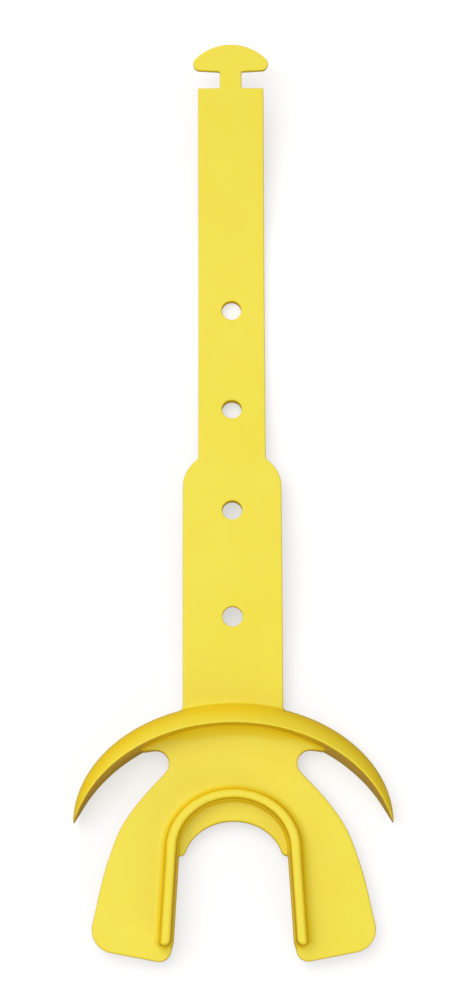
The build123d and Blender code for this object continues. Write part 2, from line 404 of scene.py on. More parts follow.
def ridgeOutline():
    s = ridgeSizes
    innerStart = (s["inner"][0], s["centre"])
    armEnd = towards(plateSizes["innerCorner"], innerStart, plateSizes["innerCornerReach"])
    foot = towards(innerStart, armEnd, s["centre"] - s["end"])
    outer = (s["inner"][0] + s["armWidth"], s["inner"][1] + s["frontWidth"])
    tip = (foot[0] + s["armWidth"] / 2, foot[1] - s["armWidth"] / 2)
    chain = quarterEllipse(s["centre"], *s["inner"])[::-1]
    chain += arcThrough(foot, tip, (foot[0] + s["armWidth"], foot[1]), steps=14)
    return chain + quarterEllipse(s["centre"], *outer)


def ridgeBack():
    # the ridge's outer side alone, run on past its end, which is what leans
    s = ridgeSizes
    outer = (s["inner"][0] + s["armWidth"], s["inner"][1] + s["frontWidth"])
    innerStart = (s["inner"][0], s["centre"])
    far = towards(innerStart, plateSizes["innerCorner"], s["leanReach"])
    return [(0, far[1]), (far[0] + s["armWidth"], far[1]), *quarterEllipse(s["centre"], *outer)]


plateChain, ridgeChain, ridgeBackChain = plateOutline(), ridgeOutline(), ridgeBack()
ridgeFront = ridgeSizes["centre"] + ridgeSizes["inner"][1] + ridgeSizes["frontWidth"]
ridgeFall = (ridgeSizes["armHeight"] - ridgeSizes["frontHeight"]) / (ridgeFront - plateSizes["armHinge"])


def hollowField(x, y, z):
    wide, deep, back = hollowEllipse(z)
    return ellipseField(x, y + back, wide, deep)


def lipField(x, y, z):
    s = lipSizes
    up = z - rootHeight
    reach = np.sqrt((x / s["halfWidth"]) ** 2 + (y / bulgeDepth) ** 2 + (up / s["halfHeight"]) ** 2)
    slope = np.sqrt(
        (x / s["halfWidth"] ** 2) ** 2 + (y / bulgeDepth**2) ** 2 + (up / s["halfHeight"] ** 2) ** 2
    )
    bulge = reach * (reach - 1) / (slope + 1e-9)
    narrowing = ease(np.abs(x), *s["tipsFrom"])
    rim = s["rimRound"] + (s["tipRound"] - s["rimRound"]) * narrowing
    floor = s["floorRound"] + (s["tipRound"] - s["floorRound"]) * narrowing
    wall = meet(bulge, -hollowField(x, y, z), rim)
    return np.maximum(meet(wall, -z, floor), s["backLimit"] - y)


def plateField(x, y, z):
    outline = foldedOutline(x, y, plateChain)
    return meet(outline, np.abs(z - rootHeight) - (plateHigh - plateLow) / 2, plateSizes["edgeRound"])


def plateFillet(x, z):
    front = (1 - ease(np.abs(x), *plateSizes["frontEase"])) * ease(z, rootHeight, plateHigh + 1)
    return plateSizes["webFillet"] + (plateSizes["lipFillet"] - plateSizes["webFillet"]) * front


def ridgeField(x, y, z):
    # its straight top falls towards the front
    s = ridgeSizes
    fall = np.maximum(y - plateSizes["armHinge"], 0) * ridgeFall
    above = (z - plateHigh - s["armHeight"] + fall) / math.hypot(1, ridgeFall)
    raised = np.maximum(z - plateHigh, 0)
    outline = (foldedOutline(x, y, ridgeChain) + raised * s["innerDraft"]) / math.hypot(1, s["innerDraft"])
    back = foldedOutline(x, y, ridgeBackChain) + (z - plateHigh) * s["outerDraft"]
    leaning = back / math.hypot(1, s["outerDraft"])
    ridge = meet(np.maximum(outline, leaning), above, s["topRound"])
    return np.maximum(ridge, plateLow + s["sunkInPlate"] - z)


def ledgeField(x, y, z):
    s = ridgeSizes
    across = np.abs(x)
    wide, deep = (size + s["ledgeUnderRidge"] for size in s["inner"])
    ahead = ellipseField(across, np.maximum(y - s["centre"], 0), wide, deep)
    reachOut = np.where(y < s["centre"], across - wide, ahead)
    opening = ellipseField(x, y - s["ledgeCentre"], *s["ledgeOpening"])
    ledge = meet(np.maximum(reachOut, -opening), s["ledgeEnd"] - y, s["ledgeEndRound"])
    middle = plateLow + s["ledgeThickness"] / 2
    return meet(ledge, np.abs(z - middle) - s["ledgeThickness"] / 2, s["ledgeRound"])


def rootField(x, y, z):
    # square to the strap's own first stretch
    s = strapSizes
    pitch = math.radians(s["pitches"][0])
    ahead = (y - bulgeDepth) * math.cos(pitch) + (z - rootHeight) * math.sin(pitch)
    up = (z - rootHeight) * math.cos(pitch) - (y - bulgeDepth) * math.sin(pitch)
    root = meet(np.abs(x) - s["nearWidth"] / 2, np.abs(up) - s["thickness"] / 2, s["edgeRound"])
    return np.maximum(root, wallMiddle - bulgeDepth - ahead)


def guardField(x, y, z):
    body = join(lipField(x, y, z), plateField(x, y, z), plateFillet(x, z))
    body = join(body, ridgeField(x, y, z), ridgeSizes["footFillet"])
    body = join(body, ledgeField(x, y, z), ridgeSizes["ledgeRound"])
    return join(body, rootField(x, y, z), plateSizes["rootFillet"])


# the toggle is flat in its own plane, with x across and y past the strap's end
toggleSizes = {
    "neckWidth": 5.3,
    "neckLength": 4.0,
    "width": 18.3,
    "length": 6.6,
    "crown": 3.3,
    "domeMiddle": (0.47, 0.23),  # shares of the half width, and of the crown down from the top
    "domeEnd": 0.92,
    "headUnder": (0.86, 0.04),  # shares of the half width, and of the length up from the neck
    "headFrom": 0.6,
    "notchRound": 0.35,
    "endRound": 0.4,
    "edgeRound": 0.3,
    "wingStart": 2.65,
    "wingEnd": 5.6,
    "neckZone": 2.0,
    "strapSeam": 7.1,  # of strap that the toggle piece carries
    "spareStrap": 3,
}


def toggleOutline():
    s = toggleSizes
    half, neck, far = s["width"] / 2, s["neckWidth"] / 2, strapSizes["farWidth"] / 2
    top = s["neckLength"] + s["length"]
    domeMiddle = (s["domeMiddle"][0] * half, top - s["domeMiddle"][1] * s["crown"])
    domeEnd = (s["domeEnd"] * half, top - s["crown"])
    under = (s["headUnder"][0] * half, s["neckLength"] + s["headUnder"][1] * s["length"])
    tail = -s["strapSeam"] - s["spareStrap"]
    chain = arcThrough((0, top), domeMiddle, domeEnd, steps=24)
    chain += arcThrough(domeEnd, (half, (domeEnd[1] + under[1]) / 2), under, steps=16)
    corners = [under, (neck, s["neckLength"]), (neck, 0), (far, 0), (far, tail)]
    rounds = [s["notchRound"], s["notchRound"], s["endRound"]]
    for before, corner, after, reach in zip(corners, corners[1:], corners[2:], rounds):
        chain += roundedCorner(before, corner, after, reach, steps=5)
    return chain + [(far, tail), (0, tail)]


toggleChain = toggleOutline()


def toggleField(x, y, z):
    outline = foldedOutline(x, y, toggleChain)
    return meet(outline, np.abs(z) - strapSizes["thickness"] / 2, toggleSizes["edgeRound"])


def pieceObject(name, mesh):
    piece = bpy.data.objects.new(name, mesh)
    bpy.context.scene.collection.objects.link(piece)
    return piece


def cutFaces(bm, faces, point, normal):
    geometry = list(faces) + [e for f in faces for e in f.edges] + [v for f in faces for v in f.verts]
    geometry = list(dict.fromkeys(geometry))
    bmesh.ops.bisect_plane(bm, geom=geometry, plane_co=point, plane_no=normal, dist=1e-5)


def closedPiece(name, bm, keeps, field, place):
    # the faces that keeps() picks, closed with flat ends, with normals read from the field
    part = bm.copy()
    gone = [f for f in part.faces if not keeps(f.calc_center_median())]
    bmesh.ops.delete(part, geom=gone, context="FACES")
    following = {l.link_loop_next.vert: l.vert for e in part.edges if e.is_boundary for l in e.link_loops}
    ends = []
    while following:
        ring = [next(iter(following))]
        while ring[-1] in following:
            ring.append(following.pop(ring[-1]))
        ends.append(part.faces.new(ring[:-1]))
    part.faces.index_update()
    capNumbers = {f.index for f in ends}
    mesh = bpy.data.meshes.new(name)
    part.to_mesh(mesh)
    part.free()
    points = np.array([v.co for v in mesh.vertices])
    slope, _ = gradient(field, points)
    slope /= np.maximum(np.linalg.norm(slope, axis=1, keepdims=True), 1e-9)
    mesh.shade_smooth()
    normals = slope[np.array([loop.vertex_index for loop in mesh.loops])]
    for number in capNumbers:
        face = mesh.polygons[number]
        normals[face.loop_start : face.loop_start + face.loop_total] = face.normal
    mesh.transform(place)
    turn = np.array(place.to_3x3().normalized())
    mesh.normals_split_custom_set((normals @ turn.T).tolist())
    return pieceObject(name, mesh)


def fieldBody(field, low, high, cell):
    points, quads = fieldMesh(field, low, high, cell)
    mesh = bpy.data.meshes.new("moulding")
    mesh.from_pydata(points.tolist(), [], quads.tolist())
    bm = bmesh.new()
    bm.from_mesh(mesh)
    bpy.data.meshes.remove(mesh)
    for _ in range(3):  # a thin rim may leave an edge with four faces
        pinched = [e for e in bm.edges if len(e.link_faces) > 2]
        bmesh.ops.collapse(bm, edges=pinched)
    bm.normal_update()
    return bm


archPlace = Matrix.Translation((0, archY * mm, 0)) @ Matrix.Diagonal((mm, mm, mm, 1))
rootSeam, tailSeam = strapSizes["rootSeam"], strapEnd - toggleSizes["strapSeam"]
armSeam = plateSizes["armHinge"] + plateSizes["armZone"] + plateSizes["armSeamGap"]
outwards = {side: Vector((side * math.cos(hornLean), -math.sin(hornLean), 0)) for side in (1, -1)}
hornPoint = {side: Vector((side * hornRoot[0], hornRoot[1], rootHeight)) for side in (1, -1)}
seamReach = lipSizes["hornZone"] + lipSizes["hornSeamGap"]
hornSeam = {side: hornPoint[side] - outwards[side] * seamReach for side in (1, -1)}
guardMesh = {"low": (-38, -33, -1), "high": (38, 43.3, 12.6), "cell": 0.3}
toggleMesh = {"margin": 1, "strapMargin": 1.5, "depth": 2, "cell": 0.25}
sides = {1: "Right", -1: "Left"}


def nearLipGuard(p, side):
    across, along, thickness = lipSizes["wallReach"]
    return p.x * side > across and p.y > along and hollowField(*p) > -thickness


def inHorn(p, side):
    return nearLipGuard(p, side) and (p - hornSeam[side]).dot(outwards[side]) > 0


def makeGuard():
    bm = fieldBody(guardField, **guardMesh)
    seam = straightLine(rootSeam)
    ahead = strapAhead(rootSeam)
    cutFaces(bm, bm.faces[:], (0, *seam), ahead)
    for side in (1, -1):
        near = [f for f in bm.faces if nearLipGuard(f.calc_center_median(), side)]
        cutFaces(bm, near, hornSeam[side], outwards[side])
    centres = {f: f.calc_center_median() for f in bm.faces}
    rest = [f for f, p in centres.items() if not inHorn(p, 1) and not inHorn(p, -1)]
    cutFaces(bm, rest, (0, armSeam, 0), (0, 1, 0))
    made = {}
    for side, name in sides.items():
        made["horn" + name] = lambda p, side=side: inHorn(p, side)
        made["arm" + name] = lambda p, side=side: p.y < armSeam and p.x * side > 0 and not inHorn(p, side)
    others = list(made.values())
    made["guardAndRoot"] = lambda p: (
        (Vector((0, *seam)) - p).dot(ahead) > 0 and not any(keeps(p) for keeps in others)
    )
    pieces = {name: closedPiece(name, bm, keeps, guardField, archPlace) for name, keeps in made.items()}
    bm.free()
    return pieces


def strapAhead(station):
    pitch = next(p for p, end in zip(strapSizes["pitches"], stations[1:]) if station <= end)
    return Vector((0, math.cos(math.radians(pitch)), math.sin(math.radians(pitch))))


guardPieces = makeGuard()
print("guard:", {name: len(piece.data.polygons) for name, piece in guardPieces.items()})


def makeToggle():
    s = toggleSizes
    half, depth = s["width"] / 2 + toggleMesh["margin"], toggleMesh["depth"]
    low = (-half, -s["strapSeam"] - toggleMesh["strapMargin"], -depth)
    high = (half, s["neckLength"] + s["length"] + toggleMesh["margin"], depth)
    headFrom = s["neckLength"] - s["headFrom"]
    bm = fieldBody(toggleField, low, high, toggleMesh["cell"])
    cutFaces(bm, bm.faces[:], (0, -s["strapSeam"], 0), (0, 1, 0))
    for side in (1, -1):
        head = [f for f in bm.faces if f.calc_center_median().y > headFrom]
        cutFaces(bm, head, (side * s["wingStart"], 0, 0), (1, 0, 0))
    pitch = math.radians(strapSizes["pitches"][-1])
    end = Vector((0, *straightLine(strapEnd)))
    place = archPlace @ Matrix.Translation(end) @ Matrix.Rotation(pitch, 4, "X")
    kept = {
        "wingRight": lambda p: p.x > s["wingStart"] and p.y > headFrom,
        "wingLeft": lambda p: p.x < -s["wingStart"] and p.y > headFrom,
    }
    wings = list(kept.values())
    kept["toggleAndNeck"] = lambda p: p.y > -s["strapSeam"] and not any(keeps(p) for keeps in wings)
    pieces = {name: closedPiece(name, bm, keeps, toggleField, place) for name, keeps in kept.items()}
    bm.free()
    return pieces


togglePieces = makeToggle()
print("toggle:", {name: len(piece.data.polygons) for name, piece in togglePieces.items()})


def wire(tree, kind, inputs=None, **settings):
    node = tree.nodes.new(kind)
    for key, value in settings.items():
        setattr(node, key, value)
    for key, value in (inputs or {}).items():
        if isinstance(value, bpy.types.NodeSocket):
            tree.links.new(value, node.inputs[key])
        else:
            node.inputs[key].default_value = value
    return node


def maths(tree, operation, *values):
    return wire(tree, "ShaderNodeMath", dict(enumerate(values)), operation=operation).outputs[0]


def strapTree():
    # a stretch of strap swept along its line, with its holes punched out
    tree = bpy.data.node_groups.new("strapStretch", "GeometryNodeTree")
    tree.is_modifier = True
    lengths = ("Thickness", "Edge Round", "Hole Radius", "First Hole", "Hole Pitch")
    kinds = {"Line": "Geometry", **dict.fromkeys(lengths, "Float"), "Holes": "Int", "Plastic": "Material"}
    for name, kind in kinds.items():
        tree.interface.new_socket(name, in_out="INPUT", socket_type="NodeSocket" + kind)
    tree.interface.new_socket("Stretch", in_out="OUTPUT", socket_type="NodeSocketGeometry")
    given = wire(tree, "NodeGroupInput").outputs
    # the line's point radius carries the strap's half width
    halfWide = wire(tree, "GeometryNodeInputRadius").outputs[0]
    kept = wire(tree, "GeometryNodeCaptureAttribute", {"Geometry": given["Line"]})
    kept.capture_items.new("FLOAT", "Half Width")
    tree.links.new(halfWide, kept.inputs["Half Width"])
    plain = wire(tree, "GeometryNodeSetCurveRadius", {"Curve": kept.outputs["Geometry"], "Radius": 1.0})
    level = wire(tree, "GeometryNodeSetCurveNormal", {"Curve": plain.outputs[0]}, mode="Z_UP")
    profileWidth = 0.01  # before it is widened
    rectangle = {"Width": profileWidth, "Height": given["Thickness"]}
    section = wire(tree, "GeometryNodeCurvePrimitiveQuadrilateral", rectangle)
    rounded = wire(
        tree, "GeometryNodeFilletCurve",
        {"Curve": section.outputs[0], "Count": 4, "Radius": given["Edge Round"]}, mode="POLY",
    )
    swept = wire(
        tree, "GeometryNodeCurveToMesh",
        {"Curve": level.outputs[0], "Profile Curve": rounded.outputs[0], "Fill Caps": True},
    )
    place = wire(tree, "ShaderNodeSeparateXYZ", {0: wire(tree, "GeometryNodeInputPosition").outputs[0]})
    side = maths(tree, "SIGN", place.outputs["X"])
    widening = maths(tree, "SUBTRACT", kept.outputs["Half Width"], profileWidth / 2)
    shift = wire(tree, "ShaderNodeCombineXYZ", {"X": maths(tree, "MULTIPLY", side, widening)})
    wide = wire(tree, "GeometryNodeSetPosition", {"Geometry": swept.outputs[0], "Offset": shift.outputs[0]})
    # punches stand on the line, one pitch apart
    index = wire(tree, "GeometryNodeInputIndex").outputs[0]
    along = maths(tree, "MULTIPLY_ADD", index, given["Hole Pitch"], given["First Hole"])
    sample = wire(
        tree, "GeometryNodeSampleCurve", {"Curves": given["Line"], "Length": along},
        mode="LENGTH", use_all_curves=True,
    )
    positions = {"Count": given["Holes"], "Position": sample.outputs["Position"]}
    spots = wire(tree, "GeometryNodePoints", positions)
    tangent = {"Vector": sample.outputs["Tangent"]}
    turn = wire(tree, "FunctionNodeAlignRotationToVector", tangent, axis="Y", pivot_axis="X")
    depth = maths(tree, "MULTIPLY", given["Thickness"], 3.0)
    cylinder = {"Vertices": 64, "Radius": given["Hole Radius"], "Depth": depth}
    punch = wire(tree, "GeometryNodeMeshCylinder", cylinder)
    punches = wire(
        tree, "GeometryNodeInstanceOnPoints",
        {"Points": spots.outputs[0], "Instance": punch.outputs["Mesh"], "Rotation": turn.outputs[0]},
    )
    solid = wire(tree, "GeometryNodeRealizeInstances", {0: punches.outputs[0]})
    pierced = wire(
        tree, "GeometryNodeMeshBoolean", {"Mesh 1": wide.outputs[0], "Mesh 2": solid.outputs[0]},
        operation="DIFFERENCE", solver="EXACT",
    )
    weights = {"Geometry": pierced.outputs["Mesh"], "Name": "bevel_weight_edge"}
    rims = wire(tree, "GeometryNodeStoreNamedAttribute", weights, data_type="FLOAT", domain="EDGE")
    tree.links.new(pierced.outputs["Intersecting Edges"], rims.inputs["Value"])
    realized = wire(tree, "GeometryNodeRealizeInstances", {0: rims.outputs[0]})
    clad = {"Geometry": realized.outputs[0], "Material": given["Plastic"]}
    finished = wire(tree, "GeometryNodeSetMaterial", clad)
    wire(tree, "NodeGroupOutput", {0: finished.outputs[0]})
    return tree


def plainMesh(piece, name):
    bpy.context.view_layer.update()
    graph = bpy.context.evaluated_depsgraph_get()
    finished = piece.evaluated_get(graph)
    mesh = bpy.data.meshes.new_from_object(finished, preserve_all_data_layers=True, depsgraph=graph)
    source = piece.data
    bpy.data.objects.remove(piece)
    if isinstance(source, bpy.types.Mesh):
        bpy.data.meshes.remove(source)
    else:
        bpy.data.curves.remove(source)
    return pieceObject(name, mesh)


def strapStations(start, end):
    # close together round each bend and down the shoulder, wide apart elsewhere, and none beside a hole
    s = strapSizes
    marks = {start, end}
    for bend in bends:
        steps = range(-s["bendSections"], s["bendSections"] + 1)
        marks |= {bend + k * s["bendZone"] / s["bendSections"] for k in steps}
    marks |= set(np.linspace(wideEnd - s["shoulderLength"], wideEnd, s["shoulderSections"]))
    marks |= set(np.arange(start, end, s["sectionStep"]))
    clear = s["holeRadius"] + s["holeClearance"]
    marks = [m for m in marks if all(abs(m - hole) > clear for hole in holes)]
    marks = sorted(m for m in marks if start <= m <= end)
    kept = [marks[0]]
    for mark in marks[1:]:
        if mark - kept[-1] > s["closestSections"]:
            kept.append(mark)
    kept[-1] = end
    return kept


def strapStretch(name, start, end, tree, material):
    curve = bpy.data.curves.new(name + "Line", "CURVE")
    curve.dimensions = "3D"
    marks = strapStations(start, end)
    spline = curve.splines.new("POLY")
    spline.points.add(len(marks) - 1)
    for point, mark in zip(spline.points, marks):
        point.co = (*strapPoint(mark), 1)
        point.radius = halfWidth(mark) * mm
    line = pieceObject(name + "Line", curve)
    inside = [hole for hole in holes if start < hole < end]
    modifier = line.modifiers.new("strapStretch", "NODES")
    modifier.node_group = tree
    values = {
        "Thickness": strapSizes["thickness"] * mm,
        "Edge Round": strapSizes["edgeRound"] * mm,
        "Hole Radius": strapSizes["holeRadius"] * mm,
        "Hole Pitch": strapSizes["holePitch"] * mm,
        "First Hole": (inside[0] - start) * mm if inside else 0.0,
        "Holes": len(inside),
        "Plastic": material,
    }
    for item in tree.interface.items_tree:
        if item.name in values:
            modifier[item.identifier] = values[item.name]
    piece = plainMesh(line, name)
    if inside:
        bevel = piece.modifiers.new("rims", "BEVEL")
        bevel.limit_method = "WEIGHT"
        bevel.width = strapSizes["holeRimRound"] * mm
        bevel.segments = strapSizes["rimSegments"]
        piece = plainMesh(piece, name)
    piece.data.shade_smooth()
    piece.data.set_sharp_from_angle(angle=math.radians(strapSizes["sharpAngle"]))
    piece.modifiers.new("flats", "WEIGHTED_NORMAL").keep_sharp = True
    return plainMesh(piece, name)


def shaderGroup(name, inputs, outputs):
    # an input given as four numbers is a colour
    group = bpy.data.node_groups.new(name, "ShaderNodeTree")
    for label, value in inputs.items():
        kind = "NodeSocketColor" if isinstance(value, tuple) else "NodeSocketFloat"
        group.interface.new_socket(label, in_out="INPUT", socket_type=kind).default_value = value
    for label, kind in outputs.items():
        group.interface.new_socket(label, in_out="OUTPUT", socket_type=kind)
    return group, wire(group, "NodeGroupInput").outputs


def blendColours(tree, share, first, second, blend="MIX"):
    mix = wire(tree, "ShaderNodeMix", data_type="RGBA", blend_type=blend)
    for socket, value in ((mix.inputs[0], share), (mix.inputs[6], first), (mix.inputs[7], second)):
        if isinstance(value, bpy.types.NodeSocket):
            tree.links.new(value, socket)
        else:
            socket.default_value = value
    return mix.outputs[2]


def spread(tree, value, low, high, newLow=0.0, newHigh=1.0):
    # from one range to another, easing in and out
    inputs = {"Value": value, "From Min": low, "From Max": high, "To Min": newLow, "To Max": newHigh}
    return wire(tree, "ShaderNodeMapRange", inputs, interpolation_type="SMOOTHSTEP").outputs[0]


def noise(tree, place, scale, detail=3.0, roughness=0.5):
    inputs = {"Vector": place, "Scale": scale, "Detail": detail, "Roughness": roughness}
    return wire(tree, "ShaderNodeTexNoise", inputs).outputs[0]


def stretched(tree, place, scale, turn=(0.0, 0.0, 0.0)):
    inputs = {"Vector": place, "Rotation": turn, "Scale": scale}
    return wire(tree, "ShaderNodeMapping", inputs).outputs[0]


# noise scales are per metre
evaPattern = {
    "cloudScale": 90.0,
    "speckScale": 2600.0,
    "grainScale": 3600.0,
    "rippleScale": 160.0,
    "flowScale": (900.0, 25.0, 900.0),
    "patchScale": 55.0,
    "scuffScale": (2400.0, 130.0, 900.0),
    "crossScuffScale": (120.0, 2600.0, 900.0),
    "crossScuffTurn": 0.9,
    "patchRoughness": 0.2,
    "scuffRoughness": 0.25,
    "scuffTone": 0.25,
    # the next two ranges mask the painted shade on slopes and on walls
    "slopeShadeEdges": (0.995, 0.5),  # of the upward share of the surface's direction
    "wallShadeEdges": (0.45, 0.0),
    "cloudEdges": (0.3, 0.7),
    "speckEdges": (0.74, 0.8),
    "scuffEdges": (0.7, 0.76),
    "crossScuffEdges": (0.71, 0.77),
    "patchEdges": (0.35, 0.7),
    "speckColour": (0.93, 0.86, 0.5, 1),
    "scuffColour": (0.9, 0.84, 0.4, 1),
}


def evaColourGroup():
    # soft clouds in the pigment, with shade painted into the colour: a golden tone painted on slopes and a
    # deeper, darker tone painted on steep walls, by how far the surface turns from up
    inputs = {
        "Flat Yellow": (0.86, 0.73, 0.068, 1),
        # the second colour is painted shade, the golden tone that tilted surfaces take
        "Slope Shade Colour": (0.86, 0.6, 0.012, 1),
        # the third colour is painted shade, a dark orange for steep walls
        "Wall Shade Colour": (0.55, 0.3, 0.0, 1),
        "Clouds": 0.1, "Slope Shade Amount": 0.6, "Wall Shade Amount": 0.6, "Specks": 0.3,
    }
    group, given = shaderGroup("evaColour", inputs, {"Colour": "NodeSocketColor"})
    coordinates = wire(group, "ShaderNodeTexCoord")
    place = coordinates.outputs["Object"]
    steep = wire(group, "ShaderNodeSeparateXYZ", {0: coordinates.outputs["Normal"]}).outputs["Z"]
    upright = maths(group, "ABSOLUTE", steep)
    clouds = noise(group, place, evaPattern["cloudScale"], detail=4.0, roughness=0.6)
    cloudy = spread(group, clouds, *evaPattern["cloudEdges"])
    # painted shade: surfaces turn golden as they tilt away from level
    slope = maths(group, "MULTIPLY", spread(group, upright, *evaPattern["slopeShadeEdges"]), given["Slope Shade Amount"])
    share = maths(group, "ADD", slope, maths(group, "MULTIPLY", cloudy, given["Clouds"]))
    share = maths(group, "MINIMUM", share, 1.0)
    slopeShaded = blendColours(group, share, given["Flat Yellow"], given["Slope Shade Colour"])
    # painted shade: steep walls darken towards dark orange
    wall = maths(group, "MULTIPLY", spread(group, upright, *evaPattern["wallShadeEdges"]), given["Wall Shade Amount"])
    wallShaded = blendColours(group, wall, slopeShaded, given["Wall Shade Colour"])
    specks = noise(group, place, evaPattern["speckScale"], detail=1.0)
    speck = spread(group, specks, *evaPattern["speckEdges"])
    dusted = maths(group, "MULTIPLY", speck, given["Specks"])
    colour = blendColours(group, dusted, wallShaded, evaPattern["speckColour"])
    wire(group, "NodeGroupOutput", {0: colour})
    return group


def mouldSkinGroup():
    # fine grain of the mould, a slow ripple left by shrinkage, and flow lines along the strap
    inputs = {"Grain": 0.5, "Ripple": 0.5, "Flow": 0.3}
    group, given = shaderGroup("mouldSkin", inputs, {"Height": "NodeSocketFloat"})
    place = wire(group, "ShaderNodeTexCoord").outputs["Object"]
    patterns = {
        "Grain": noise(group, place, evaPattern["grainScale"], detail=2.0),
        "Ripple": noise(group, place, evaPattern["rippleScale"], detail=2.0),
        "Flow": noise(group, stretched(group, place, evaPattern["flowScale"]), 1.0, roughness=0.6),
    }
    parts = [maths(group, "MULTIPLY", value, given[key]) for key, value in patterns.items()]
    height = maths(group, "ADD", maths(group, "ADD", parts[0], parts[1]), parts[2])
    wire(group, "NodeGroupOutput", {0: height})
    return group


def handlingGroup():
    # thin scuffs from handling, in two directions, and duller patches where fingers hold it
    inputs = {"Scuffs": 0.4, "Patches": 0.4, "Base Roughness": 0.35}
    outputs = {"Roughness": "NodeSocketFloat", "Scuff Mask": "NodeSocketFloat"}
    group, given = shaderGroup("handling", inputs, outputs)
    place = wire(group, "ShaderNodeTexCoord").outputs["Object"]
    first = noise(group, stretched(group, place, evaPattern["scuffScale"]), 1.0, detail=1.0)
    turn = (0.0, 0.0, evaPattern["crossScuffTurn"])
    crossed = stretched(group, place, evaPattern["crossScuffScale"], turn)
    second = noise(group, crossed, 1.0, detail=1.0)
    firstLines = spread(group, first, *evaPattern["scuffEdges"])
    lines = maths(group, "MAXIMUM", firstLines, spread(group, second, *evaPattern["crossScuffEdges"]))
    scuffs = maths(group, "MULTIPLY", lines, given["Scuffs"])
    patch = spread(group, noise(group, place, evaPattern["patchScale"]), *evaPattern["patchEdges"])
    duller = maths(group, "MULTIPLY", given["Patches"], evaPattern["patchRoughness"])
    patches = maths(group, "MULTIPLY", patch, duller)
    added = maths(group, "ADD", patches, maths(group, "MULTIPLY", scuffs, evaPattern["scuffRoughness"]))
    rough = maths(group, "ADD", given["Base Roughness"], added)
    wire(group, "NodeGroupOutput", {0: rough, 1: scuffs})
    return group


colourGroup, skinGroup, wearGroup = evaColourGroup(), mouldSkinGroup(), handlingGroup()
print("plastic: shader groups made")


def groupNode(tree, group, finish, beyond, span):
    # values fade along the strap into those of the piece beyond, so that no seam shows
    node = wire(tree, "ShaderNodeGroup", node_tree=group)
    place = wire(tree, "ShaderNodeTexCoord").outputs["Object"]
    along = wire(tree, "ShaderNodeSeparateXYZ", {0: place}).outputs["Y"]
    for key in (item.name for item in group.interface.items_tree if item.name in finish):
        if finish[key] == beyond[key]:
            node.inputs[key].default_value = finish[key]
        else:
            tree.links.new(spread(tree, along, *span, finish[key], beyond[key]), node.inputs[key])
    return node


def evaMaterial(name, finish, beyond, span):
    material = bpy.data.materials.new(name)
    material.use_nodes = True
    tree = material.node_tree
    shader = tree.nodes["Principled BSDF"]
    groups = (colourGroup, skinGroup, wearGroup)
    tones, moulded, used = (groupNode(tree, group, finish, beyond, span) for group in groups)
    paler = maths(tree, "MULTIPLY", used.outputs["Scuff Mask"], evaPattern["scuffTone"])
    scuffed = blendColours(tree, paler, tones.outputs["Colour"], evaPattern["scuffColour"])
    height = moulded.outputs["Height"]
    relief = wire(tree, "ShaderNodeBump", {"Height": height, **evaBump})
    tree.links.new(scuffed, shader.inputs["Base Color"])
    tree.links.new(used.outputs["Roughness"], shader.inputs["Roughness"])
    tree.links.new(relief.outputs[0], shader.inputs["Normal"])
    for key, value in evaGloss.items():
        shader.inputs[key].default_value = value
    return material


evaBump = {"Strength": 0.33, "Distance": 0.00005}
evaGloss = {"Specular IOR Level": 0.18, "IOR": 1.45, "Coat Weight": 0.045, "Coat Roughness": 0.12}
# the slope and wall amounts set how much shade is painted into each finish's colour
finishes = {
    "strap": {
        "Clouds": 0.12, "Slope Shade Amount": 0.6, "Wall Shade Amount": 0.3, "Specks": 0.2,
        "Grain": 0.5, "Ripple": 0.3, "Flow": 0.5,
        "Scuffs": 0.35, "Patches": 0.5, "Base Roughness": 0.42,
    },
    "guard": {
        "Clouds": 0.14, "Slope Shade Amount": 0.95, "Wall Shade Amount": 0.75, "Specks": 0.15,
        "Grain": 0.25, "Ripple": 0.5, "Flow": 0.1,
        "Scuffs": 0.2, "Patches": 0.4, "Base Roughness": 0.3,
    },
}
finishes["toggle"] = {**finishes["strap"], "Flow": 0.3, "Scuffs": 0.5, "Base Roughness": 0.4}
spans = {  # from a piece's own values to the strap's
    "strap": (0.0, 1.0),
    "guard": tuple(strapPoint(station)[1] for station in (1.0, 11.5)),
    "toggle": tuple(strapPoint(strapEnd - back)[1] for back in (0, 6.0)),
}
plastic = {
    name: evaMaterial(name + "Eva", finish, finishes["strap"], spans[name])
    for name, finish in finishes.items()
}

strapNodes = [
    "strap_section_near", "strap_section_shoulder", "strap_section_middle", "strap_section_far",
    "strap_tail_near", "strap_tail_middle",
]
seams = [rootSeam, *strapSizes["seams"], tailSeam]
stretchTree = strapTree()
bendZone = strapSizes["bendZone"]
strapPieces = []
for k, (start, end) in enumerate(zip(seams, seams[1:])):
    piece = strapStretch("strap" + str(k + 1), start, end, stretchTree, plastic["strap"])
    ends = [strapPoint(bends[k + 1] + way * bendZone) for way in (-1, 1)]
    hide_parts(strapNodes[k])
    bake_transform(piece)
    strapPieces.append(piece)
print("strap:", [len(piece.data.polygons) for piece in strapPieces])

finished = {"guard": guardPieces.values(), "toggle": togglePieces.values(), "strap": strapPieces}
for finish, pieces in finished.items():
    for piece in pieces:
        piece.data.materials.clear()
        piece.data.materials.append(plastic[finish])

